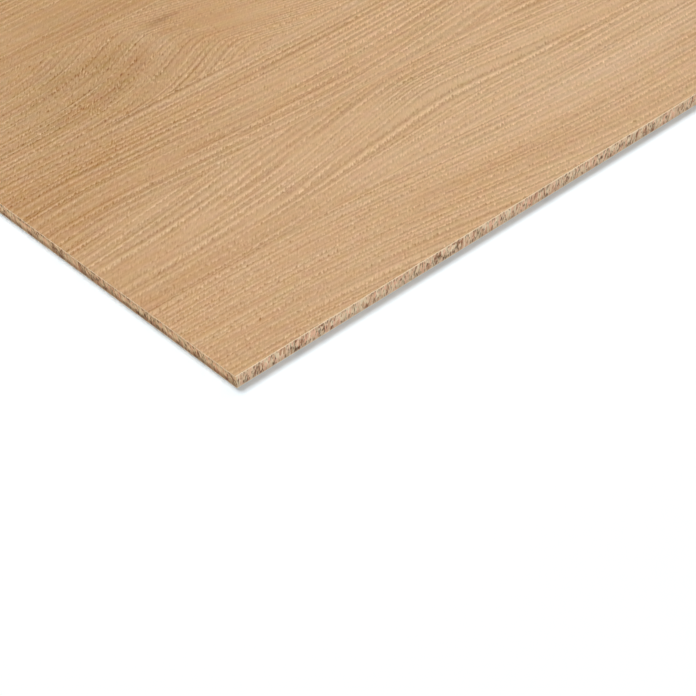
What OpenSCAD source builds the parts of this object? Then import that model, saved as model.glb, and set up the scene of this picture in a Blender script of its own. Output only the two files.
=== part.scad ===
// Decor-faced chipboard panel: plain sheet stock, sawn to size and lying flat.
// Length runs along X, with the grain of the wood decor. Width runs along Y and thickness along Z.
// The origin is at the middle of the underside.

/* [Board] */
// Length of the board, along the grain of the decor
board_length = 1200; // [300:10:2800]
// Width of the board, across the grain
board_width = 600; // [100:10:2070]
// Thickness of the whole board, with both faces
board_thickness = 8; // [6:0.5:38]

/* [Faces] */
// Thickness of the wood decor face, on top
decor_thickness = 0.3; // [0.15:0.05:1]
// Thickness of the plain backing face, underneath
backing_thickness = 0.3; // [0.15:0.05:1]
// Width of the arris broken along the sawn edges of both faces
arris = 0.1; // [0.05:0.01:0.12]

/* [Hidden] */

// The core fills what the two faces leave of the board's thickness.
core_bottom = backing_thickness;
core_thickness = board_thickness - decor_thickness - backing_thickness;
decor_bottom = core_bottom + core_thickness;

// Section of a face, from sawn edge to sawn edge, with the arris broken at both outer corners.
module face_section(span, thickness) {
    half = span / 2;
    polygon([
        [-half, 0],
        [half, 0],
        [half, thickness - arris],
        [half - arris, thickness],
        [-half + arris, thickness],
        [-half, thickness - arris]
    ]);
}

// Face of the board's full outline, glued side on z = 0. The section that runs along the board
// meets the one that runs across it, so the broken arrises mitre at the four corners.
module face(thickness) {
    intersection() {
        rotate([90, 0, 90])
            linear_extrude(height = board_length, center = true)
                face_section(board_width, thickness);
        rotate([90, 0, 0])
            linear_extrude(height = board_width, center = true)
                face_section(board_length, thickness);
    }
}

// Pressed wood chips, sawn square with both faces already on, so all three end flush.
module chipboard_core() {
    color([0.73, 0.6, 0.47])
        translate([-board_length / 2, -board_width / 2, core_bottom])
            cube([board_length, board_width, core_thickness]);
}

// Beech-patterned face, pressed onto the top of the core.
module decor_face() {
    color([0.79, 0.65, 0.49])
        translate([0, 0, decor_bottom])
            face(decor_thickness);
}

// Plain pale face, pressed onto the underside of the core to keep the board flat.
module backing_face() {
    color([0.86, 0.83, 0.78])
        translate([0, 0, core_bottom])
            mirror([0, 0, 1])
                face(backing_thickness);
}

chipboard_core();
decor_face();
backing_face();
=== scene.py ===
"""Dresses a beech-decor chipboard panel: a sawn core of pressed chips between an embossed decor face and a
plain backing, lying on a white studio floor."""

import logging
import math
import random
from collections.abc import Callable, Iterable
from dataclasses import asdict, dataclass
from enum import Enum
from functools import cache, reduce

import bpy
from mathutils import Matrix, Vector


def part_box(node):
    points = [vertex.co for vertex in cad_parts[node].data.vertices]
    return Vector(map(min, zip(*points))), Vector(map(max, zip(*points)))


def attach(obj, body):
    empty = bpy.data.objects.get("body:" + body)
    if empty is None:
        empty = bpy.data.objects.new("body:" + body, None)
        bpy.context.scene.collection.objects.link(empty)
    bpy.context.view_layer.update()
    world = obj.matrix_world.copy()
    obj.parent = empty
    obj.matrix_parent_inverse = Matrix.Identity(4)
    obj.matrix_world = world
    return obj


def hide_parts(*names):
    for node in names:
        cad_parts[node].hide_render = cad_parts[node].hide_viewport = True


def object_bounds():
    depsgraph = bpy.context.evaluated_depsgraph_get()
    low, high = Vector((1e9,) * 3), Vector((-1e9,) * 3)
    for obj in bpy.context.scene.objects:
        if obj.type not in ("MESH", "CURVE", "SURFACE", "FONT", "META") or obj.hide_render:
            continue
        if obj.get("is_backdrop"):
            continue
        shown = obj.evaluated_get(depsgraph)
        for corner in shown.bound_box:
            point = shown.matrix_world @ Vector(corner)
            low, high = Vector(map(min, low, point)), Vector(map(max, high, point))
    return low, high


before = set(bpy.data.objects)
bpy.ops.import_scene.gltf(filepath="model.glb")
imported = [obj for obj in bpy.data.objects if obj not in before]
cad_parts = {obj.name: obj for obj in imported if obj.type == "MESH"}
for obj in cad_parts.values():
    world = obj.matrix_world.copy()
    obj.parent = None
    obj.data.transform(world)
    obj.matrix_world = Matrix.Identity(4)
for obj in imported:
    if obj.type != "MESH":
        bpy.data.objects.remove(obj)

log = logging.getLogger("panel")

Object = bpy.types.Object
Material = bpy.types.Material
Tree = bpy.types.NodeTree
Socket = bpy.types.NodeSocket
Input = Socket | float | tuple[float, ...]
Inputs = dict[str | int, Input]
Colour = tuple[float, float, float]
Triple = tuple[float, float, float]
Pair = tuple[float, float]

MM = 0.001
PER_METRE = 1000.0
TINY = 1e-6
ZERO = (0.0, 0.0, 0.0)
WHITE = (1.0, 1.0, 1.0)
CHART = "OFBake"


class Slot(Enum):
    """The record's material slots."""

    CHIPBOARD = "chipboard"
    DECOR = "beech_decor"
    BACKING = "backing"


class Node(Enum):
    """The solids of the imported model."""

    CORE = "chipboard_core"
    DECOR = "decor_face"
    BACKING = "backing_face"


class Part(Enum):
    """What can be picked of a mesh: its name in edit mode, and the name of the mesh's list of them."""

    VERTEX = ("VERT", "vertices")
    EDGE = ("EDGE", "edges")
    FACE = ("FACE", "polygons")


def shape(
    piece: Object,
    part: Part,
    wanted: Callable[[bpy.types.bpy_struct], bool],
    operator: Callable[..., set[str]],
    **settings: object,
) -> None:
    """Picks some parts of a piece and shapes them in edit mode.

    Args:
        piece: The piece.
        part: What is picked.
        wanted: Tells whether one of them is wanted.
        operator: The operator that shapes what is picked.
        **settings: The operator's own settings.
    """
    mode, members = part.value
    bpy.context.view_layer.objects.active = piece
    bpy.ops.object.mode_set(mode="EDIT")
    bpy.ops.mesh.select_mode(type=mode)
    bpy.ops.mesh.select_all(action="DESELECT")
    bpy.ops.object.mode_set(mode="OBJECT")
    for one in getattr(piece.data, members):
        one.select = wanted(one)
    bpy.ops.object.mode_set(mode="EDIT")
    operator(**settings)
    bpy.ops.object.mode_set(mode="OBJECT")


def run_of(piece: Object, edge: bpy.types.MeshEdge) -> Vector:
    """Finds which way an edge runs, and how far."""
    first, second = (piece.data.vertices[number].co for number in edge.vertices)
    return second - first


class Graph:
    """A node tree under construction. Its methods add nodes and return what they put out."""

    def __init__(self, tree: Tree) -> None:
        """Starts on a shader or geometry tree."""
        self.tree = tree
        self.count = 0

    def put(self, value: Input, socket: Socket) -> None:
        """Joins an output to a socket, or sets a plain value on it.

        Args:
            value: The output, the number, or the vector or colour as three numbers.
            socket: The input that takes it.
        """
        if isinstance(value, Socket):
            self.tree.links.new(value, socket)
        elif socket.type == "RGBA":
            socket.default_value = (*value, 1.0)
        else:
            socket.default_value = value

    def add(self, kind: str, inputs: Inputs | None = None, **settings: object) -> bpy.types.Node:
        """Adds a node of any kind.

        Args:
            kind: The node's type name.
            inputs: What goes in each input, by name or number.
            **settings: The node's own settings.

        Returns:
            The new node.
        """
        node = self.tree.nodes.new(kind)
        node.location = (220 * (self.count // 8), -160 * (self.count % 8))
        self.count += 1
        for name, setting in settings.items():
            setattr(node, name, setting)
        for name, value in (inputs or {}).items():
            self.put(value, node.inputs[name])
        return node

    def math(self, operation: str, *values: Input, clamp: bool = False) -> Socket:
        """Works out a number, and keeps it between 0 and 1 if clamp says so."""
        node = self.add("ShaderNodeMath", dict(enumerate(values)), operation=operation, use_clamp=clamp)
        return node.outputs[0]

    def product(self, *factors: Input) -> Socket:
        """Multiplies two or more numbers."""
        return reduce(lambda product, factor: self.math("MULTIPLY", product, factor), factors)

    def vector(self, operation: str, *values: Input) -> Socket:
        """Works out a vector, component by component."""
        return self.add("ShaderNodeVectorMath", dict(enumerate(values)), operation=operation).outputs[0]

    def scale(self, vector: Input, factor: Input) -> Socket:
        """Multiplies a vector by a number."""
        return self.add("ShaderNodeVectorMath", {0: vector, "Scale": factor}, operation="SCALE").outputs[0]

    def join(self, x: Input, y: Input, z: Input) -> Socket:
        """Makes a vector of three numbers."""
        return self.add("ShaderNodeCombineXYZ", {0: x, 1: y, 2: z}).outputs[0]

    def split(self, vector: Input) -> list[Socket]:
        """Takes a vector apart into three numbers."""
        return list(self.add("ShaderNodeSeparateXYZ", {0: vector}).outputs)

    def step(self, value: Input, start: float, end: float, low: float = 0.0, high: float = 1.0) -> Socket:
        """Passes smoothly from low to high as a number rises or falls from start to end."""
        ends = {0: value, 1: start, 2: end, 3: low, 4: high}
        return self.add("ShaderNodeMapRange", ends, interpolation_type="SMOOTHSTEP").outputs[0]

    def mix(self, share: Input, first: Input, second: Input) -> Socket:
        """Blends two numbers. The share says how much of the second to take."""
        return self.add("ShaderNodeMix", {0: share, 2: first, 3: second}, data_type="FLOAT").outputs[0]

    def mix_vectors(self, share: Input, first: Input, second: Input) -> Socket:
        """Blends two vectors in the same way."""
        return self.add("ShaderNodeMix", {0: share, 4: first, 5: second}, data_type="VECTOR").outputs[1]

    def tint(self, share: Input, first: Input, second: Input, blend: str = "MIX") -> Socket:
        """Lays a second colour on a first one. The share says how strongly."""
        inputs = {0: share, 6: first, 7: second}
        return self.add("ShaderNodeMix", inputs, data_type="RGBA", blend_type=blend).outputs[2]

    def noise(
        self, place: Input, size: Triple | None = None, detail: float = 0.0, roughness: float = 0.5
    ) -> Socket:
        """Reads soft noise, about 0.5 on average.

        Args:
            place: The place.
            size: The size of a grain, where the place isn't given in grains.
            detail: How many finer octaves are added.
            roughness: How strong each finer octave is.

        Returns:
            The noise.
        """
        grains = self.vector("DIVIDE", place, size) if size else place
        inputs = {"Vector": grains, "Scale": 1.0, "Detail": detail, "Roughness": roughness}
        return self.add("ShaderNodeTexNoise", inputs).outputs[0]

    def cells(self, place: Input, size: Triple) -> bpy.types.Node:
        """Reads a pattern of cells of one size, each of a colour by chance."""
        return self.add("ShaderNodeTexVoronoi", {"Vector": self.vector("DIVIDE", place, size), "Scale": 1.0})

    def ramp(self, value: Input, stops: tuple[tuple[float, Colour], ...]) -> Socket:
        """Turns a number into a colour.

        Args:
            value: The number, from 0 to 1.
            stops: The colours and their places, in rising order.

        Returns:
            The colour.
        """
        node = self.add("ShaderNodeValToRGB", {0: value})
        band = node.color_ramp
        while len(band.elements) < len(stops):
            band.elements.new(1.0)
        for element, (place, colour) in zip(band.elements, stops):
            element.position = place
            element.color = (*colour, 1.0)
        return node.outputs[0]

    def use(self, group: Tree, inputs: dict[str, Input]) -> list[Socket]:
        """Adds a node group and returns all that it puts out."""
        return list(self.add("ShaderNodeGroup", inputs, node_tree=group).outputs)


class Surface(Graph):
    """A material under construction."""

    def __init__(self, slot: Slot) -> None:
        """Starts on a material.

        Args:
            slot: The slot that the material fills.
        """
        self.material = bpy.data.materials.new(slot.value)
        self.material.use_nodes = True
        super().__init__(self.material.node_tree)
        self.shader = self.tree.nodes["Principled BSDF"].inputs

    def close(self, colour: Input, relief: Input, roughness: Input) -> Material:
        """Joins what was worked out to the shader.

        Args:
            colour: The colour.
            relief: The height of the surface, in millimetres.
            roughness: The roughness.

        Returns:
            The finished material.
        """
        bump = self.add("ShaderNodeBump", {"Strength": 1.0, "Distance": MM, "Height": relief})
        self.put(colour, self.shader["Base Color"])
        self.put(bump.outputs[0], self.shader["Normal"])
        self.put(roughness, self.shader["Roughness"])
        return self.material


class Effect(Graph):
    """A node group that more than one finish, or one finish many times, draws on."""

    def __init__(self, name: str, takes: dict[str, str], gives: dict[str, str]) -> None:
        """Starts the group with its sockets.

        Args:
            name: The group's name.
            takes: The kind of each input socket, by name.
            gives: The kind of each output socket, by name.
        """
        super().__init__(bpy.data.node_groups.new(name, "ShaderNodeTree"))
        for way, sockets in (("INPUT", takes), ("OUTPUT", gives)):
            for socket, kind in sockets.items():
                self.tree.interface.new_socket(socket, in_out=way, socket_type="NodeSocket" + kind)
        self.inputs = self.add("NodeGroupInput").outputs
        self.outputs = self.add("NodeGroupOutput").inputs

    def give(self, name: str, value: Input) -> None:
        """Sends a value out of the group."""
        self.put(value, self.outputs[name])


@dataclass(frozen=True)
class Fade:
    """A smooth change of strength, from low to high, as a number passes from start to end."""

    start: float
    end: float
    low: float = 0.0
    high: float = 1.0

    def read(self, g: Graph, number: Input) -> Socket:
        """Works out the strength that goes with a number."""
        return g.step(number, self.start, self.end, self.low, self.high)


@cache
def edge_effect() -> Tree:
    """Builds the group that finds the sawn sides of a thin face, and the fine nicks the saw left along them.

    Returns:
        The group's tree. It gives 1 where the pale cut side shows, and 0 elsewhere.
    """
    nick_size = (0.7, 0.7, 0.7)
    nick_fade = Fade(0.52, 0.70)
    takes = {"Place": "Vector", "Size": "Vector", "Band": "Float", "Nick": "Float"}
    g = Effect("sawn_edge", takes, {"Cut": "Float"})
    take = g.inputs
    beyond = g.vector("SUBTRACT", take["Size"], take["Place"])
    along, across, _ = g.split(g.vector("MINIMUM", take["Place"], beyond))
    near = g.math("MINIMUM", along, across)
    nick = nick_fade.read(g, g.noise(take["Place"], nick_size, detail=2.0))
    near = g.math("SUBTRACT", near, g.product(nick, take["Nick"]))
    g.give("Cut", g.math("SUBTRACT", 1.0, g.math("DIVIDE", near, take["Band"]), clamp=True))
    return g.tree


@cache
def skin_effect() -> Tree:
    """Builds the group of the melamine skin: a fine pearl, and rubbed streaks where it is smoother.

    Returns:
        The group's tree. It gives the pearl's relief, from 0 to 1, and the roughness.
    """
    streak_size = (60.0, 14.0, 14.0)
    takes = {"Place": "Vector", "Pearl": "Float", "Roughness": "Float", "Uneven": "Float"}
    g = Effect("melamine_skin", takes, {"Relief": "Float", "Roughness": "Float"})
    take = g.inputs
    pearl = g.noise(g.scale(take["Place"], take["Pearl"]), detail=1.0)
    g.give("Relief", pearl)
    rubbed = g.noise(take["Place"], streak_size, detail=2.0)
    both = g.math("ADD", g.math("SUBTRACT", pearl, 0.5), g.math("SUBTRACT", rubbed, 0.5))
    g.give("Roughness", g.math("MULTIPLY_ADD", both, take["Uneven"], take["Roughness"]))
    return g.tree


@cache
def hill_effect() -> Tree:
    """Builds the group that lifts the grain over one hill of the figure.

    Returns:
        The group's tree. It gives the lift, in millimetres, and how fast the lift grows across the grain.
    """
    names = ("Along", "Across", "Apex", "Left", "Right", "Rise", "Power", "Foot", "Top")
    g = Effect("grain_hill", dict.fromkeys(names, "Float"), {"Lift": "Float", "Growth": "Float"})
    take = g.inputs
    offset = g.math("SUBTRACT", take["Along"], take["Apex"])
    reach = g.mix(g.math("LESS_THAN", offset, 0.0), take["Right"], take["Left"])
    steps = g.math("DIVIDE", g.math("ABSOLUTE", offset), reach)
    fall = g.math("EXPONENT", g.product(g.math("POWER", steps, take["Power"]), -1.0))
    high = g.product(fall, take["Rise"])
    # The lift comes on across the grain as 3 t^2 - 2 t^3, which grows as 6 t (1 - t).
    part = g.add("ShaderNodeMapRange", {0: take["Across"], 1: take["Foot"], 2: take["Top"]}).outputs[0]
    share = g.product(part, part, g.math("MULTIPLY_ADD", part, -2.0, 3.0))
    g.give("Lift", g.product(high, share))
    rate = g.product(part, g.math("SUBTRACT", 1.0, part), 6.0)
    rate = g.math("DIVIDE", rate, g.math("SUBTRACT", take["Top"], take["Foot"]))
    g.give("Growth", g.product(high, rate))
    return g.tree


@cache
def patch_effect() -> Tree:
    """Builds the group that adds a soft patch of change to a colour.

    Returns:
        The group's tree. It gives the changed colour.
    """
    names = ("Place", "Centre", "Reach", "Change", "Under")
    g = Effect("soft_patch", dict.fromkeys(names, "Vector"), {"Colour": "Vector"})
    take = g.inputs
    away = g.vector("DIVIDE", g.vector("SUBTRACT", take["Place"], take["Centre"]), take["Reach"])
    flat = g.vector("MULTIPLY", away, (1.0, 1.0, 0.0))
    square = g.add("ShaderNodeVectorMath", {0: flat, 1: flat}, operation="DOT_PRODUCT").outputs["Value"]
    share = g.math("EXPONENT", g.product(square, -1.0))
    g.give("Colour", g.vector("ADD", take["Under"], g.scale(take["Change"], share)))
    return g.tree


@dataclass(frozen=True)
class Hill:
    """One hill of the wood figure: the grain rises to an apex and falls again. Lengths are in millimetres.

    Across the leaf, the hill comes on from foot to top. The standard foot and top lie below every leaf.
    """

    apex: float
    left: float
    right: float
    rise: float
    power: float = 2.0
    foot: float = -2.0
    top: float = -1.0

    def lift(self, g: Graph, along: Input, across: Input) -> list[Socket]:
        """Works out how far this hill lifts the grain, and how fast the lift grows across the leaf."""
        sizes = {name.capitalize(): size for name, size in asdict(self).items()}
        return g.use(hill_effect(), {"Along": along, "Across": across, **sizes})


@dataclass(frozen=True)
class Leaf:
    """One leaf of veneer in the decor, and how the grain runs in it. Lengths are in millimetres."""

    start: float
    spacing: float = 1.0
    hills: tuple[Hill, ...] = ()
    lean: float = 0.0


@dataclass(frozen=True)
class Patch:
    """A soft patch where the wood is lighter or darker, or where a painted sheen lies. Lengths are in
    millimetres.
    """

    along: float
    across: float
    long: float
    wide: float
    change: Colour

    def lay(self, g: Graph, place: Input, under: Input) -> Socket:
        """Adds the patch to a colour, at a place on the board."""
        spot = {"Centre": (self.along, self.across, 0.0), "Reach": (self.long, self.wide, 1.0)}
        return g.use(patch_effect(), {"Place": place, **spot, "Change": self.change, "Under": under})[0]


def lay_patches(g: Graph, patches: Iterable[Patch], place: Input, under: Input) -> Socket:
    """Adds patches to a colour, one after another."""
    return reduce(lambda colour, patch: patch.lay(g, place, colour), patches, under)


@dataclass(frozen=True)
class Crest:
    """A rounded crest beside or on a growth line. Lengths are in millimetres."""

    centre: float
    width: float
    height: float = 1.0

    def read(self, g: Graph, away: Input) -> Socket:
        """Reads the crest at a distance from the growth line."""
        steps = g.product(g.math("SUBTRACT", away, self.centre), 1.0 / self.width)
        return g.product(g.math("EXPONENT", g.product(steps, steps, -1.0)), self.height)


@dataclass(frozen=True)
class Grain:
    """The grain at a place: how far along the board it is, on which growth line and in which leaf.

    Growth is how fast the lines follow one another across the leaf.
    """

    g: Graph
    place: Socket
    along: Socket
    level: Socket
    leaf: Socket
    growth: Socket

    def cloud(self, size: Pair, layer: float = 0.0) -> Socket:
        """Reads soft noise that is drawn out along the growth lines.

        Args:
            size: The size of its clouds along the lines and across them, in millimetres.
            layer: Sets it apart from the other noises of this kind.

        Returns:
            The noise, about 0.5 on average.
        """
        g = self.g
        along = g.math("DIVIDE", self.along, size[0])
        level = g.math("DIVIDE", self.level, size[1])
        return g.noise(g.join(along, level, g.math("ADD", self.leaf, layer)), detail=1.0)


@dataclass(frozen=True)
class Board:
    """The board's place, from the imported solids."""

    low: Vector
    high: Vector

    @property
    def length(self) -> float:
        """The board's length, in millimetres."""
        return PER_METRE * (self.high.x - self.low.x)

    @property
    def width(self) -> float:
        """The board's width, in millimetres."""
        return PER_METRE * (self.high.y - self.low.y)

    def place(self, g: Graph) -> Socket:
        """Reads the place on the board, in millimetres from its lowest corner."""
        here = g.add("ShaderNodeTexCoord").outputs["Object"]
        return g.scale(g.vector("SUBTRACT", here, tuple(self.low)), PER_METRE)


@dataclass(frozen=True)
class ThinFace:
    """What the two thin faces share: a melamine skin and pale sawn sides, on the decor partly a painted
    highlight of the arris. Lengths are in millimetres.
    """

    board: Board
    cut: Colour
    pearl: float
    pearl_depth: float
    roughness: float
    uneven: float
    cut_band: float = 0.12
    cut_nick: float = 0.16

    def close(self, g: Surface, place: Input, colour: Input, relief: Input) -> Material:
        """Adds the skin and the sawn sides to a face, and finishes its material.

        Args:
            g: The material under construction.
            place: The place on the board.
            colour: The face's colour.
            relief: The face's own relief, in millimetres.

        Returns:
            The material.
        """
        size = (self.board.length, self.board.width, 0.0)
        edge = {"Place": place, "Size": size, "Band": self.cut_band, "Nick": self.cut_nick}
        skin = {"Place": place, "Pearl": self.pearl, "Roughness": self.roughness, "Uneven": self.uneven}
        pearl, roughness = g.use(skin_effect(), skin)
        relief = g.math("MULTIPLY_ADD", pearl, self.pearl_depth, relief)
        return g.close(g.tint(g.use(edge_effect(), edge)[0], colour, self.cut), relief, roughness)


@dataclass(frozen=True)
class BeechDecor(ThinFace):
    """The wood decor: leaves of plain and crown-cut beech, with embossed growth lines and hatched flecks.

    Lengths are in millimetres. A calm patch changes the strength of lines, of flecks and of bands.
    """

    # The pale cut side of the decor paper, partly a painted highlight where the arris catches the light.
    cut: Colour = (0.94, 0.735, 0.49)
    pearl: float = 1.1
    pearl_depth: float = 0.02
    roughness: float = 0.48
    uneven: float = 0.22
    pale: Colour = (0.616, 0.385, 0.197)
    deep: Colour = (0.574, 0.336, 0.158)
    broad_size: Pair = (170.0, 16.0)
    broad_fade: Fade = Fade(0.20, 0.80)
    green: Colour = (0.574, 0.370, 0.186)
    green_size: Pair = (40.0, 12.0)
    green_fade: Fade = Fade(0.45, 0.72, 0.0, 0.5)
    mottle: Colour = (0.06, 0.045, 0.055)
    mottle_size: Triple = (9.0, 6.0, 6.0)
    # The lift colour is even in every channel, like a sheen: the printed light and dark it carries is partly
    # the decor's print and partly painted shade and sheen of the emboss.
    lift: Colour = (0.065, 0.052, 0.036)
    pitch: float = 5.2
    fine_pitch: float = 3.016
    fine_fade: Fade = Fade(0.80, 0.50)
    fine_least: float = 0.18
    least_growth: float = 0.3
    leaf_key: float = 7.31
    narrowing: float = 0.6
    spread: float = 7.6
    spread_size: Pair = (180.0, 11.0)
    line_place: float = 0.45
    line_light: Crest = Crest(0.0, 0.80, 0.65)
    line_before: Crest = Crest(-1.95, 1.00, 0.77)
    line_after: Crest = Crest(1.90, 0.85, 0.81)
    line_near: Crest = Crest(0.0, 2.0)
    line_groove: float = 0.25
    line_depth: float = 0.185
    # Strength of the growth lines' print: partly printed lines, partly painted shade in their grooves and
    # painted highlight on their crests.
    line_print: float = 2.4
    presence_size: Pair = (55.0, 4.2)
    presence_fade: Fade = Fade(0.28, 0.60)
    presence_most: float = 1.18
    faint_fade: Fade = Fade(0.0, 0.12, 0.34, 0.06)
    zone_size: Pair = (130.0, 17.0)
    zone_fade: Fade = Fade(0.36, 0.56, 0.76, 1.07)
    hatch_size: Triple = (3.7, 0.92, 1.0)
    hatch_turn: float = 50.0
    hatch_depth: float = 0.084
    # Strength of the flecks' print: partly printed flecks, partly painted shade and highlight of their
    # emboss.
    hatch_print: float = 3.4
    bead_size: Triple = (2.6, 1.7, 1.0)
    bead_turn: float = 30.0
    bead_fade: Fade = Fade(-0.13, 0.15, 0.82, 1.18)
    bead_share: float = 0.28
    jag: float = 1.9
    grit_gain: float = 8.6
    grit_most: float = 0.60
    cluster_size: Triple = (16.0, 9.0, 9.0)
    cluster_fade: Fade = Fade(0.48, 0.66)
    cluster_least: float = 0.55
    cluster_most: float = 1.15
    band_size: Pair = (70.0, 3.4)
    band_layer: float = 3.0
    band_print: float = 1.4
    patches: tuple[Patch, ...] = (
        Patch(-10, 50, 75, 130, (-0.034, -0.040, -0.035)),
        Patch(60, 20, 120, 40, (-0.024, -0.018, -0.012)),
        Patch(0, 196, 130, 44, (-0.094, -0.086, -0.070)),
        Patch(190, 205, 120, 20, (-0.010, -0.014, -0.014)),
        Patch(105, 272, 95, 48, (-0.120, -0.098, -0.074)),
        Patch(158, 284, 8, 26, (0.026, 0.034, 0.036)),
        Patch(200, 265, 30, 34, (-0.008, -0.016, -0.018)),
        Patch(178, 299, 12, 3, (-0.12, -0.10, -0.06)),
        Patch(128, 287, 15, 9, (-0.035, -0.028, -0.025)),
        Patch(93, 292, 10, 7, (-0.035, -0.025, -0.02)),
        Patch(220, 222, 230, 6, (0.014, 0.020, 0.022)),
        Patch(210, 345, 150, 40, (-0.080, -0.072, -0.056)),
        Patch(115, 390, 45, 55, (-0.052, -0.040, -0.034)),
        Patch(66, 285, 45, 75, (-0.020, -0.010, -0.008)),
        # Painted sheen: the next two pale, bluish lifts stand in for gloss reflected near the front edge, not
        # for a tone of the wood.
        Patch(300, 108, 170, 46, (0.026, 0.026, 0.020)),
        Patch(320, 56, 110, 22, (0.026, 0.032, 0.036)),
        Patch(215, 34, 70, 22, (-0.012, -0.020, -0.020)),
    )
    calm: tuple[Patch, ...] = (
        Patch(150, 36, 400, 36, (-0.17, 0.0, 0.0)),
        Patch(120, 108, 150, 34, (-0.12, 0.0, 0.0)),
        Patch(225, 82, 130, 7, (-0.4, 0.0, 0.0)),
        Patch(200, 160, 400, 45, (0.0, 0.0, 1.0)),
        Patch(105, 275, 85, 46, (0.15, 0.62, 0.0)),
        Patch(196, 282, 20, 20, (-0.7, -0.4, 0.0)),
        Patch(214, 262, 22, 16, (-0.7, -0.5, 0.0)),
        Patch(180, 350, 190, 38, (-0.56, -0.35, 0.0)),
        Patch(70, 22, 45, 8, (-0.20, 0.0, 0.0)),
        Patch(190, 44, 60, 8, (-0.24, 0.0, 0.0)),
        Patch(290, 18, 50, 10, (-0.20, 0.0, 0.0)),
    )
    rare: Patch = Patch(110, 275, 95, 44, (0.14, 0.0, 0.0))
    far_start: float = 500.0
    far_margin: float = 40.0
    far_count: int = 8
    far_change: Colour = (-0.120, -0.098, -0.074)
    roll_length: float = 480.0
    roll_width: float = 120.0
    roll_height: float = 88.0
    roll_fade: Fade = Fade(420.0, 680.0)
    seed: int = 11

    def leaves(self) -> list[Leaf]:
        """Lays out the leaves across the board.

        Returns:
            The leaves, from the front edge to the back one.
        """
        leaves = [
            Leaf(-20.0, 0.80, (Hill(0, 200, 215, 24, 3.0), Hill(-60, 200, 235, 34, 2.0, 80, -20))),
            Leaf(70.0, 1.14, (Hill(233, 190, 330, 38, 1.5, 66, 150),)),
            Leaf(147.0, 1.1, (Hill(40, 110, 190, 17, 1.6, 232, 190), Hill(390, 120, 130, 24, 2.0, 240, 150))),
            Leaf(228.0, 0.70, (Hill(204, 60, 66, 32, 1.45),), lean=0.66),
            Leaf(317.0, 1.05, (Hill(250, 150, 250, 6),)),
        ]
        dice = random.Random(self.seed)
        start = 400.0
        while start < self.board.width:
            leaves.append(Leaf(start))
            start += dice.uniform(74, 90)
        return leaves

    def far_patches(self) -> list[Patch]:
        """Scatters darker patches over the board beyond those that are set out for its near end.

        Returns:
            The patches.
        """
        dice = random.Random(self.seed + 1)
        scattered = []
        for _ in range(self.far_count):
            along = dice.uniform(self.far_start, self.board.length - self.far_margin)
            across = dice.uniform(self.far_margin, self.board.width - self.far_margin)
            long = dice.uniform(90, 150)
            wide = dice.uniform(22, 42)
            depth = dice.uniform(0.35, 0.75)
            change = tuple(depth * one for one in self.far_change)
            scattered.append(Patch(along, across, long, wide, change))
        return scattered

    def grain(self, g: Graph, place: Input) -> Grain:
        """Works out which growth line passes through a place, and in which leaf.

        The grain rises and falls over the hills of its leaf, and by chance beyond them.

        Args:
            g: The graph to build in.
            place: The place on the board.

        Returns:
            The grain at that place.
        """
        along, across, _ = g.split(place)
        far = self.roll_fade.read(g, along)
        total = None
        for number, leaf in enumerate(self.leaves()):
            key = number * self.leaf_key
            chance = g.noise(g.join(along, key, across), (self.roll_length, 1.0, self.roll_width))
            roll = g.product(g.math("SUBTRACT", chance, 0.5), self.roll_height, far if leaf.hills else 1.0)
            level = g.math("SUBTRACT", across, roll)
            growth = 1.0
            leaning = g.math("MULTIPLY_ADD", g.math("SUBTRACT", across, leaf.start), leaf.lean, along)
            for hill in leaf.hills:
                lift, rate = hill.lift(g, leaning, across)
                level = g.math("SUBTRACT", level, lift)
                growth = g.math("SUBTRACT", growth, rate)
            growth = g.product(growth, leaf.spacing ** -self.narrowing)
            here = g.join(g.product(level, 1.0 / leaf.spacing), key, growth)
            if total is None:
                total = here
            else:
                total = g.mix_vectors(g.math("GREATER_THAN", across, leaf.start), total, here)
        level, key, growth = g.split(total)
        return Grain(g, place, along, level, key, g.math("MAXIMUM", growth, self.least_growth))

    def turned(self, g: Graph, place: Input, size: Triple, turn: float) -> Socket:
        """Reads soft noise whose grains are stretched and turned.

        Args:
            g: The graph to build in.
            place: The place on the board.
            size: The size of a grain.
            turn: How far the grain is turned from the board's length, in degrees.

        Returns:
            The noise, about 0 on average.
        """
        inputs = {"Vector": place, "Rotation": (0.0, 0.0, math.radians(turn)), "Scale": size}
        grains = g.add("ShaderNodeMapping", inputs, vector_type="TEXTURE").outputs[0]
        return g.math("SUBTRACT", g.noise(grains, detail=0.5), 0.5)

    def sparse(self, g: Graph, grains: Input) -> Socket:
        """Keeps the stronger grains of a noise and weakens the rest, up to an even height."""
        strong = g.product(grains, g.math("ABSOLUTE", grains), self.grit_gain)
        return g.math("MINIMUM", g.math("MAXIMUM", strong, -self.grit_most), self.grit_most)

    def lines(self, g: Graph, level: Input, growth: Input, pitch: float) -> Socket:
        """Draws one set of growth lines.

        Args:
            g: The graph to build in.
            level: The growth level.
            growth: How fast the level grows across the grain.
            pitch: How far apart the lines are, in millimetres of level.

        Returns:
            A vector of the lines' relief, the light and dark that go with it, partly print and partly painted
            shade and highlight of the relief, and the nearness of a line.
        """
        wave = g.math("SUBTRACT", g.math("FRACT", g.math("DIVIDE", level, pitch)), self.line_place)
        away = g.math("DIVIDE", g.product(wave, pitch), growth)
        light = self.line_light.read(g, away)
        dark = g.math("ADD", self.line_before.read(g, away), self.line_after.read(g, away))
        relief = g.math("MULTIPLY_ADD", dark, -self.line_groove, light)
        return g.join(relief, g.math("SUBTRACT", light, dark), self.line_near.read(g, away))

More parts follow.
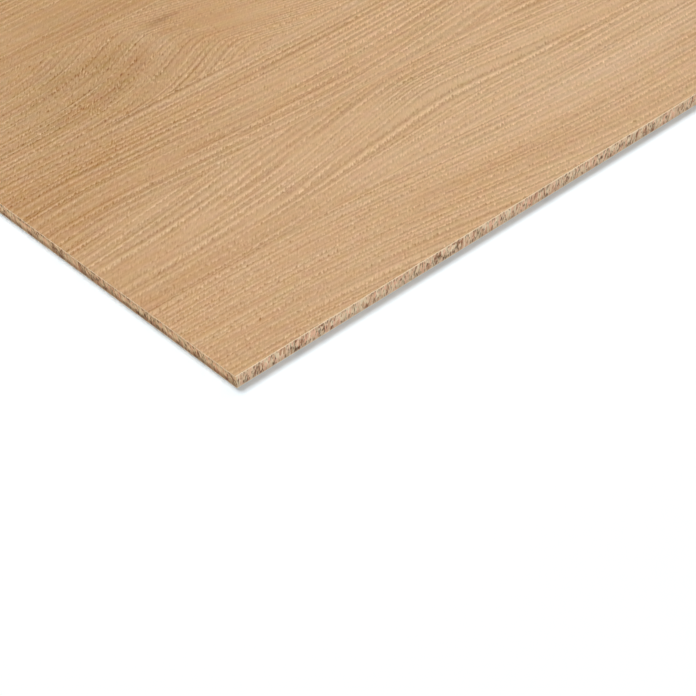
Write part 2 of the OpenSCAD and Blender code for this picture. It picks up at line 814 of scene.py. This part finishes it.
    def draw(self, grain: Grain, flecks: Input) -> list[Socket]:
        """Draws the growth lines, with a finer set where they follow one another slowly.

        Args:
            grain: The grain.
            flecks: The flecks that make the lines ragged.

        Returns:
            The lines' relief, the light and dark that go with it, partly print and partly painted shade and
            highlight of the relief, and the nearness of a line.
        """
        g = grain.g
        jag = g.product(flecks, grain.growth, self.jag)
        spread = grain.cloud(self.spread_size)
        ragged = g.math("MULTIPLY_ADD", spread, self.spread, g.math("ADD", grain.level, jag))
        coarse = self.lines(g, ragged, grain.growth, self.pitch)
        fine = self.lines(g, ragged, grain.growth, self.fine_pitch)
        share = g.math("ADD", self.fine_fade.read(g, grain.growth), self.fine_least, clamp=True)
        return g.split(g.mix_vectors(share, coarse, fine))

    def presence(self, grain: Grain) -> Socket:
        """Works out how strongly the growth lines show, as they come and go along the board.

        Args:
            grain: The grain.

        Returns:
            The strength, about 1 where they show well.
        """
        g = grain.g
        rare = g.split(self.rare.lay(g, grain.place, ZERO))[0]
        shown = self.presence_fade.read(g, g.math("SUBTRACT", grain.cloud(self.presence_size), rare))
        shown = g.mix(shown, self.faint_fade.read(g, rare), self.presence_most)
        return g.product(shown, self.zone_fade.read(g, grain.cloud(self.zone_size)))

    def wood(self, grain: Grain) -> Socket:
        """Mixes the colour of the wood between its lines and flecks, with a painted sheen in two of its
        patches.

        Args:
            grain: The grain.

        Returns:
            The colour.
        """
        g = grain.g
        colour = g.tint(self.broad_fade.read(g, grain.cloud(self.broad_size)), self.deep, self.pale)
        colour = g.tint(self.green_fade.read(g, grain.cloud(self.green_size)), colour, self.green)
        colour = lay_patches(g, [*self.patches, *self.far_patches()], grain.place, colour)
        spots = {"Vector": g.vector("DIVIDE", grain.place, self.mottle_size), "Scale": 1.0}
        hue = g.vector("SUBTRACT", g.add("ShaderNodeTexNoise", spots).outputs["Color"], (0.5, 0.5, 0.5))
        return g.vector("ADD", colour, g.vector("MULTIPLY", hue, self.mottle))

    def material(self) -> Material:
        """Builds the decor's material.

        Returns:
            The material.
        """
        g = Surface(Slot.DECOR)
        place = self.board.place(g)
        grain = self.grain(g, place)
        lively = lay_patches(g, self.calm, place, g.join(1.0, 1.0, 0.0))
        line_share, fleck_share, band_share = g.split(g.vector("MAXIMUM", lively, ZERO))

        hatch = self.turned(g, place, self.hatch_size, self.hatch_turn)
        bead = self.turned(g, place, self.bead_size, self.bead_turn)
        ridge, printed_and_shaded, near = self.draw(grain, g.math("ADD", hatch, bead))
        presence = self.presence(grain)
        strength = g.product(presence, self.bead_fade.read(g, bead), line_share)
        clusters = self.cluster_fade.read(g, g.noise(place, self.cluster_size, detail=1.0))
        busy = g.math("MAXIMUM", g.product(near, presence), clusters, clamp=True)
        grit = g.math("MULTIPLY_ADD", self.sparse(g, bead), self.bead_share, self.sparse(g, hatch))
        grit = g.product(grit, g.mix(busy, self.cluster_least, self.cluster_most), fleck_share)

        relief = g.math("MULTIPLY_ADD", grit, self.hatch_depth, g.product(ridge, strength, self.line_depth))
        bands = g.math("SUBTRACT", grain.cloud(self.band_size, self.band_layer), 0.5)
        change = g.product(bands, band_share, self.band_print)
        # The lines and flecks laid into the colour are partly the decor's print, partly painted shade in the
        # grooves and painted highlight on the crests.
        change = g.math("MULTIPLY_ADD", grit, self.hatch_print, change)
        change = g.math("MULTIPLY_ADD", g.product(printed_and_shaded, strength), self.line_print, change)
        colour = g.vector("ADD", self.wood(grain), g.scale(self.lift, change))
        return self.close(g, place, colour, relief)


@dataclass(frozen=True)
class ChipPattern:
    """The pattern of the pressed chips, which the core's relief and its finish share.

    Lengths are in millimetres. Half is half the board's length.
    """

    half: float
    end_depth: float = 0.6
    chip: Triple = (1.05, 3.1, 1.0)
    crack: Triple = (0.66, 2.8, 1.0)
    cluster: Triple = (5.0, 7.0, 1.0)
    cluster_share: float = 0.35
    crack_fade: Fade = Fade(0.53, 0.70)
    lean: float = 0.22

    def on_end(self, g: Graph, place: Input) -> Socket:
        """Tells, with 1 or 0, whether a place is on one of the board's short sides."""
        return g.math("GREATER_THAN", g.math("ABSOLUTE", g.split(place)[0]), self.half - self.end_depth)

    def unrolled(self, g: Graph, place: Input) -> Socket:
        """Unrolls the four sawn walls into one strip, on which the pattern leans a little, as the saw does.

        Args:
            g: The graph to build in.
            place: The place on the board.

        Returns:
            The distance along the strip and the height.
        """
        along, across, height = g.split(place)
        round_walls = g.math("SUBTRACT", along, across)
        lean = g.mix(self.on_end(g, place), -self.lean, self.lean)
        return g.join(g.math("MULTIPLY_ADD", height, lean, round_walls), height, 0.0)

    def chips(self, g: Graph, place: Input) -> list[Socket]:
        """Reads three numbers by chance for the chip at a place, each from 0 to 1."""
        return g.split(g.cells(self.unrolled(g, place), self.chip).outputs["Color"])

    def cracks(self, g: Graph, place: Input) -> Socket:
        """Reads the dark gaps between the chips.

        Args:
            g: The graph to build in.
            place: The place on the board.

        Returns:
            How open the gap is, from 0 to 1.
        """
        place = self.unrolled(g, place)
        where = g.math("SUBTRACT", g.noise(place, self.cluster), 0.5)
        fine = g.noise(place, self.crack, detail=1.5)
        return self.crack_fade.read(g, g.math("MULTIPLY_ADD", where, self.cluster_share, fine))


@dataclass(frozen=True)
class Wash:
    """A colour that comes over the chips as a number passes from start to full.

    It has one share on the board's long sides and one on its ends.
    """

    colour: Colour
    start: float
    full: float
    side: float
    end: float
    blend: str = "MIX"

    def lay(self, g: Graph, number: Input, on_end: Input, under: Input) -> Socket:
        """Lays the wash over a colour, as a number brings it on. On_end is 1 on the board's ends."""
        share = g.product(g.step(number, self.start, self.full), g.mix(on_end, self.side, self.end))
        return g.tint(share, under, self.colour, self.blend)


@dataclass(frozen=True)
class SawnChips:
    """The finish of pressed wood chips, sawn square, with plain glue where the two faces cover them.

    Heights are in millimetres.
    """

    low: Vector
    high: Vector
    pattern: ChipPattern
    tones: tuple[tuple[float, Colour], ...] = (
        (0.00, (0.31, 0.13, 0.065)),
        (0.11, (0.485, 0.26, 0.145)),
        (0.23, (0.67, 0.447, 0.28)),
        (0.45, (0.775, 0.56, 0.365)),
        (0.75, (0.84, 0.645, 0.45)),
        (1.00, (0.895, 0.737, 0.532)),
    )
    pink: Wash = Wash((0.83, 0.485, 0.327), 0.55, 1.0, 0.80, 0.80)
    cream: Wash = Wash((0.765, 0.635, 0.43), 0.45, 0.0, 0.75, 0.75)
    gap: Colour = (0.15, 0.06, 0.023)
    gap_share: float = 0.90
    top_skin: Wash = Wash((0.935, 0.72, 0.505), 7.1, 7.5, 0.85, 0.50)
    under_skin: Wash = Wash((0.42, 0.30, 0.20), 5.6, 6.2, 0.14, 0.14, "MULTIPLY")
    under_skin_end: Fade = Fade(7.2, 6.8)
    end_tint: Colour = (1.08, 0.99, 0.845)
    # Painted shade: the walls darken towards the bottom, where the floor shades them, far more on the ends
    # than on the long sides.
    foot: Wash = Wash((0.42, 0.34, 0.27), 4.2, 1.5, 0.18, 0.72, "MULTIPLY")
    low_skin: Wash = Wash((0.90, 0.74, 0.58), 0.9, 0.4, 0.90, 0.90)
    glue: Colour = (0.55, 0.36, 0.20)
    glue_depth: float = 0.001
    fibre_size: Triple = (0.5, 0.5, 0.22)
    fibre_depth: float = 0.10
    chip_depth: float = 0.10
    crack_depth: float = 0.30
    roughness: float = 0.82
    gloss: float = 0.3

    def material(self) -> Material:
        """Builds the sawn core's material.

        Returns:
            The material.
        """
        g = Surface(Slot.CHIPBOARD)
        place = g.scale(g.add("ShaderNodeTexCoord").outputs["Object"], PER_METRE)
        height = g.split(place)[2]
        end = self.pattern.on_end(g, place)
        tone, kind, rise = self.pattern.chips(g, place)
        cracks = self.pattern.cracks(g, place)
        colour = self.pink.lay(g, kind, end, g.ramp(tone, self.tones))
        colour = self.cream.lay(g, kind, end, colour)
        colour = g.tint(g.product(cracks, self.gap_share), colour, self.gap)
        colour = self.top_skin.lay(g, height, end, colour)
        darker = self.under_skin.lay(g, height, end, colour)
        colour = g.tint(self.under_skin_end.read(g, height), colour, darker)
        colour = g.tint(end, colour, self.end_tint, "MULTIPLY")
        # Painted shade towards the bottom of the walls.
        colour = self.foot.lay(g, height, end, colour)
        colour = self.low_skin.lay(g, height, end, colour)
        over = g.math("GREATER_THAN", height, PER_METRE * self.low.z + self.glue_depth)
        below = g.math("LESS_THAN", height, PER_METRE * self.high.z - self.glue_depth)
        colour = g.tint(g.product(over, below), self.glue, colour)
        fibre = g.product(g.noise(place, self.fibre_size, detail=1.0), self.fibre_depth)
        relief = g.math("MULTIPLY_ADD", rise, self.chip_depth, fibre)
        relief = g.math("MULTIPLY_ADD", cracks, -self.crack_depth, relief)
        g.put(self.gloss, g.shader["Specular IOR Level"])
        return g.close(colour, relief, self.roughness)


@dataclass(frozen=True)
class SawnCore:
    """The core of pressed chips, with the torn relief that the saw leaves on its four edges.

    A bay of a wall is divided by so many cuts. The depths chip_step and torn are in millimetres, and other
    lengths in metres. The cap fields are shares of the chart's width.
    """

    low: Vector
    high: Vector
    pattern: ChipPattern
    bay: float = 0.030
    cuts: int = 39
    rows: int = 11
    chip_step: float = 0.12
    torn: float = 0.22
    whole_rim: float = 0.0001
    row: float = 0.150
    row_fill: float = 0.92
    cap_start: float = 0.05
    cap_width: float = 0.4
    cap_step: float = 0.5
    smooth: float = 40.0

    @property
    def size(self) -> Vector:
        """The core's size along each axis."""
        return self.high - self.low

    def build(self) -> Object:
        """Builds the core's mesh.

        Returns:
            The core.
        """
        bpy.ops.object.select_all(action="DESELECT")
        bpy.ops.mesh.primitive_cube_add(size=1.0, location=(self.high + self.low) / 2, scale=self.size)
        core = bpy.context.active_object
        core.name = "sawn_core"
        bpy.ops.object.transform_apply(location=True, rotation=True, scale=True)
        shape(core, Part.FACE, lambda face: abs(face.normal.z) > 0.5, bpy.ops.mesh.delete, type="FACE")
        self.divide_walls(core)
        self.close_caps(core)
        self.lay_out(core)
        self.tear(core)
        bpy.ops.object.shade_smooth_by_angle(angle=math.radians(self.smooth))
        return core

    def divide_walls(self, core: Object) -> None:
        """Divides the four open walls into a fine grid, first in rows and then along each side.

        Args:
            core: The core, without its top and bottom.
        """
        divide = bpy.ops.mesh.subdivide
        shape(core, Part.EDGE, lambda edge: abs(run_of(core, edge).z) > TINY, divide, number_cuts=self.rows)
        for axis in range(2):
            shape(
                core,
                Part.EDGE,
                lambda edge, axis=axis: abs(run_of(core, edge)[axis]) > TINY,
                divide,
                number_cuts=round(self.size[axis] / self.bay) - 1,
            )
        shape(core, Part.EDGE, lambda edge: abs(run_of(core, edge).z) < TINY, divide, number_cuts=self.cuts)

    def close_caps(self, core: Object) -> None:
        """Closes the top and the bottom, where the two faces are glued on.

        Args:
            core: The core.
        """
        close = bpy.ops.mesh.edge_face_add
        for rim in (self.low.z, self.high.z):
            shape(core, Part.VERTEX, lambda spot, rim=rim: abs(spot.co.z - rim) < TINY, close)
        shape(core, Part.FACE, lambda face: True, bpy.ops.mesh.normals_make_consistent, inside=False)

    def lay_out(self, core: Object) -> None:
        """Lays the walls out flat in rows of equal length, one above the other, with the caps over the last.

        Args:
            core: The core.
        """
        chart = core.data.uv_layers.new(name=CHART)
        rows = round(2 * (self.size.x + self.size.y) / self.row)
        spots: list[float] = []
        for face in core.data.polygons:
            row = math.floor(self.round_walls(face.center, face.normal) / self.row)
            left = self.cap_start + (self.cap_step if face.normal.z > 0 else 0.0)
            for number in face.vertices:
                place = core.data.vertices[number].co
                away = place - self.low
                if abs(face.normal.z) > 0.5:
                    along = left + self.cap_width * away.x / self.size.x
                    up = rows + self.fill(away.y / self.size.y)
                else:
                    along = self.round_walls(place, face.normal) / self.row - row
                    up = row + self.fill(away.z / self.size.z)
                spots.extend((along, up / (rows + 1)))
        chart.data.foreach_set("uv", spots)

    def fill(self, share: float) -> float:
        """Keeps a row's contents clear of the rows above and below it."""
        return 0.5 + self.row_fill * (share - 0.5)

    def round_walls(self, place: Vector, normal: Vector) -> float:
        """Measures how far a place is round the four walls, taken one after another.

        Args:
            place: The place on the wall.
            normal: The way the wall faces.

        Returns:
            The distance in metres.
        """
        if abs(normal.y) > 0.5:
            return place.x - self.low.x + (self.size.x if normal.y > 0 else 0.0)
        return 2 * self.size.x + place.y - self.low.y + (self.size.y if normal.x > 0 else 0.0)

    def tear(self, core: Object) -> None:
        """Presses the walls in where chips stand back or have torn out, and leaves their rims whole.

        Args:
            core: The core.
        """
        tree = bpy.data.node_groups.new("torn_chips", "GeometryNodeTree")
        for way in ("INPUT", "OUTPUT"):
            tree.interface.new_socket("Geometry", in_out=way, socket_type="NodeSocketGeometry")
        g = Graph(tree)
        mesh = g.add("NodeGroupInput").outputs[0]
        place = g.scale(g.add("GeometryNodeInputPosition").outputs[0], PER_METRE)
        height = g.split(place)[2]
        back = g.product(g.math("SUBTRACT", 1.0, self.pattern.chips(g, place)[2]), self.chip_step)
        depth = g.math("MULTIPLY_ADD", self.pattern.cracks(g, place), self.torn, back)
        above = g.math("GREATER_THAN", height, PER_METRE * (self.low.z + self.whole_rim))
        below = g.math("LESS_THAN", height, PER_METRE * (self.high.z - self.whole_rim))
        inward = g.product(depth, above, below, -MM)
        offset = g.scale(g.add("GeometryNodeInputNormal").outputs[0], inward)
        moved = g.add("GeometryNodeSetPosition", {"Geometry": mesh, "Offset": offset})
        g.add("NodeGroupOutput", {0: moved.outputs[0]})
        modifier = core.modifiers.new("torn_chips", "NODES")
        modifier.node_group = tree
        bpy.context.view_layer.objects.active = core
        bpy.ops.object.modifier_apply(modifier=modifier.name)


@dataclass(frozen=True)
class BackingFilm(ThinFace):
    """The plain pale melamine film under the board. Lengths are in millimetres."""

    cut: Colour = (1.0, 0.91, 0.77)
    pearl: float = 0.8
    pearl_depth: float = 0.10
    roughness: float = 0.58
    uneven: float = 0.30
    colour: Colour = (0.86, 0.77, 0.635)
    cloud: Colour = (0.81, 0.71, 0.565)
    cloud_size: Triple = (70.0, 45.0, 45.0)
    cloud_fade: Fade = Fade(0.32, 0.68)
    fibre_size: Triple = (7.0, 0.9, 1.0)
    fibre_share: float = 0.9
    fibre_depth: float = 0.03
    fleck: Colour = (0.60, 0.49, 0.36)
    fleck_size: Triple = (9.0, 7.0, 7.0)
    fleck_least: float = 0.012
    fleck_more: float = 0.045
    fleck_rare: float = 0.45
    fleck_share: float = 0.55

    def material(self) -> Material:
        """Builds the backing's material.

        Returns:
            The material.
        """
        g = Surface(Slot.BACKING)
        place = self.board.place(g)
        clouds = self.cloud_fade.read(g, g.noise(place, self.cloud_size, detail=3.0, roughness=0.6))
        fibres = g.noise(place, self.fibre_size, detail=2.0)
        share = g.math("MULTIPLY_ADD", g.math("SUBTRACT", fibres, 0.5), self.fibre_share, clouds)
        colour = g.tint(g.math("MAXIMUM", share, 0.0, clamp=True), self.colour, self.cloud)
        flecks = g.cells(place, self.fleck_size).outputs
        rare, size, _ = g.split(flecks["Color"])
        reach = g.math("MULTIPLY_ADD", size, self.fleck_more, self.fleck_least)
        inside = g.product(
            g.math("LESS_THAN", flecks["Distance"], reach),
            g.math("GREATER_THAN", rare, self.fleck_rare),
            self.fleck_share,
        )
        colour = g.tint(inside, colour, self.fleck)
        return self.close(g, place, colour, g.product(fibres, self.fibre_depth))


@dataclass(frozen=True)
class Lamp:
    """A square softbox that lights the board from one side.

    The share is how much of full white it gives a level floor, and the spread how wide it looks, in degrees.
    """

    name: str
    direction: Triple
    share: float
    spread: float
    away: float = 6.0

    def hang(self, over: Vector) -> None:
        """Hangs the lamp.

        Args:
            over: The place it is turned to.
        """
        way = Vector(self.direction).normalized()
        bpy.ops.object.light_add(type="AREA", location=over + way * self.away)
        lamp = bpy.context.active_object
        lamp.name = self.name
        lamp.rotation_mode = "QUATERNION"
        lamp.rotation_quaternion = (-way).to_track_quat("-Z", "Y")
        lamp.data.shape = "SQUARE"
        lamp.data.size = 2.0 * self.away * math.tan(math.radians(self.spread) / 2.0)
        lamp.data.energy = self.share * (math.pi * self.away) ** 2 / way.z


@dataclass(frozen=True)
class Studio:
    """The white floor, the lamps and the camera. Lengths are in metres, those of the camera's film in mm."""

    board: Board
    aim: Triple = (0.0517, -0.0246, 0.00838)
    azimuth: float = -36.42
    elevation: float = 39.94
    roll: float = -6.7
    distance: float = 0.9924
    lens: float = 104.7
    film: float = 36.0
    sight: float = 50.0
    dome: float = 0.140
    lamps_over: Triple = (0.3, 0.2, 0.0)
    lamps: tuple[Lamp, ...] = (
        Lamp("key_softbox", (0.0, 0.480, 1.0), 0.687, 25.0),
        Lamp("side_softbox", (0.95, 0.44, 1.0), 0.150, 44.0),
        Lamp("front_softbox", (-0.325, -0.87, 0.34), 0.160, 40.0),
    )
    floor_size: float = 12.0
    floor_under: float = 0.0003
    floor_white: Colour = (0.95, 0.95, 0.95)
    floor_seen: Colour = (0.998, 1.085, 1.14)
    floor_fade: Fade = Fade(0.70, 0.95)

    def build(self) -> None:
        """Sets up the whole studio."""
        self.build_floor()
        self.build_world()
        for lamp in self.lamps:
            lamp.hang(self.board.low + Vector(self.lamps_over))
        self.build_camera()

    def build_floor(self) -> None:
        """Lays the white floor, which fades into the white background away from the board."""
        bpy.ops.mesh.primitive_plane_add(size=self.floor_size, location=(0.0, 0.0, -self.floor_under))
        floor = bpy.context.active_object
        floor.name = "floor"
        made = bpy.data.materials.new("floor_white")
        made.use_nodes = True
        made.node_tree.nodes.clear()
        g = Graph(made.node_tree)
        seen = g.add("ShaderNodeLightPath").outputs["Is Camera Ray"]
        matt = g.add("ShaderNodeBsdfDiffuse", {"Color": g.tint(seen, self.floor_white, self.floor_seen)})
        here = g.add("ShaderNodeTexCoord").outputs["Object"]
        away = g.add("ShaderNodeVectorMath", {0: here}, operation="LENGTH").outputs["Value"]
        glow = g.add("ShaderNodeEmission", {"Color": WHITE, "Strength": 1.0})
        far = g.product(seen, self.floor_fade.read(g, away))
        shown = g.add("ShaderNodeMixShader", {0: far, 1: matt.outputs[0], 2: glow.outputs[0]})
        g.add("ShaderNodeOutputMaterial", {"Surface": shown.outputs[0]})
        floor.data.materials.append(made)
        floor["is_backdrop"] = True

    def build_world(self) -> None:
        """Surrounds the scene with even light on a white background."""
        world = bpy.data.worlds.new("studio_white")
        world.use_nodes = True
        bpy.context.scene.world = world
        g = Graph(world.node_tree)
        seen = g.add("ShaderNodeLightPath").outputs["Is Camera Ray"]
        background = world.node_tree.nodes["Background"].inputs
        g.put(WHITE, background["Color"])
        g.put(g.mix(seen, self.dome, 1.0), background["Strength"])

    def build_camera(self) -> None:
        """Sets the camera over the near corner."""
        azimuth = math.radians(self.azimuth)
        elevation = math.radians(self.elevation)
        flat = math.cos(elevation)
        back = Vector((math.sin(azimuth) * flat, -math.cos(azimuth) * flat, math.sin(elevation)))
        bpy.ops.object.camera_add(location=self.board.low + Vector(self.aim) + back * self.distance)
        camera = bpy.context.active_object
        camera.rotation_mode = "QUATERNION"
        turn = (-back).to_track_quat("-Z", "Y")
        camera.rotation_quaternion = turn @ Matrix.Rotation(math.radians(self.roll), 3, "Z").to_quaternion()
        camera.data.lens = self.lens
        camera.data.sensor_width = self.film
        camera.data.clip_end = self.sight
        bpy.context.scene.camera = camera


def dress(node: Node, material: Material) -> None:
    """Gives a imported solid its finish.

    Args:
        node: The solid.
        material: Its finish.
    """
    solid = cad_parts[node.value]
    solid.data.materials.clear()
    solid.data.materials.append(material)
    log.info("%s: packed solid, finished in %s", node.value, material.name)


def main() -> None:
    """Builds the panel and its studio, and reports each piece."""
    logging.basicConfig(level=logging.INFO, format="%(name)s: %(message)s")
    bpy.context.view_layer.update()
    bpy.ops.object.select_all(action="DESELECT")
    low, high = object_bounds()
    board = Board(Vector(low), Vector(high))
    dress(Node.DECOR, BeechDecor(board).material())
    pattern = ChipPattern(half=board.length / 2)
    core_box = [Vector(corner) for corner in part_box(Node.CORE.value)]
    core = SawnCore(*core_box, pattern).build()
    core.data.materials.append(SawnChips(*core_box, pattern).material())
    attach(core, "root")
    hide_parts(Node.CORE.value)
    log.info("%s: %d faces", core.name, len(core.data.polygons))
    dress(Node.BACKING, BackingFilm(board).material())
    Studio(board).build()
    log.info("studio: floor, %d lamps and camera", len(Studio.lamps))
    bpy.context.scene.view_settings.view_transform = "Standard"
    bpy.context.view_layer.update()


if __name__ == "__main__":
    main()
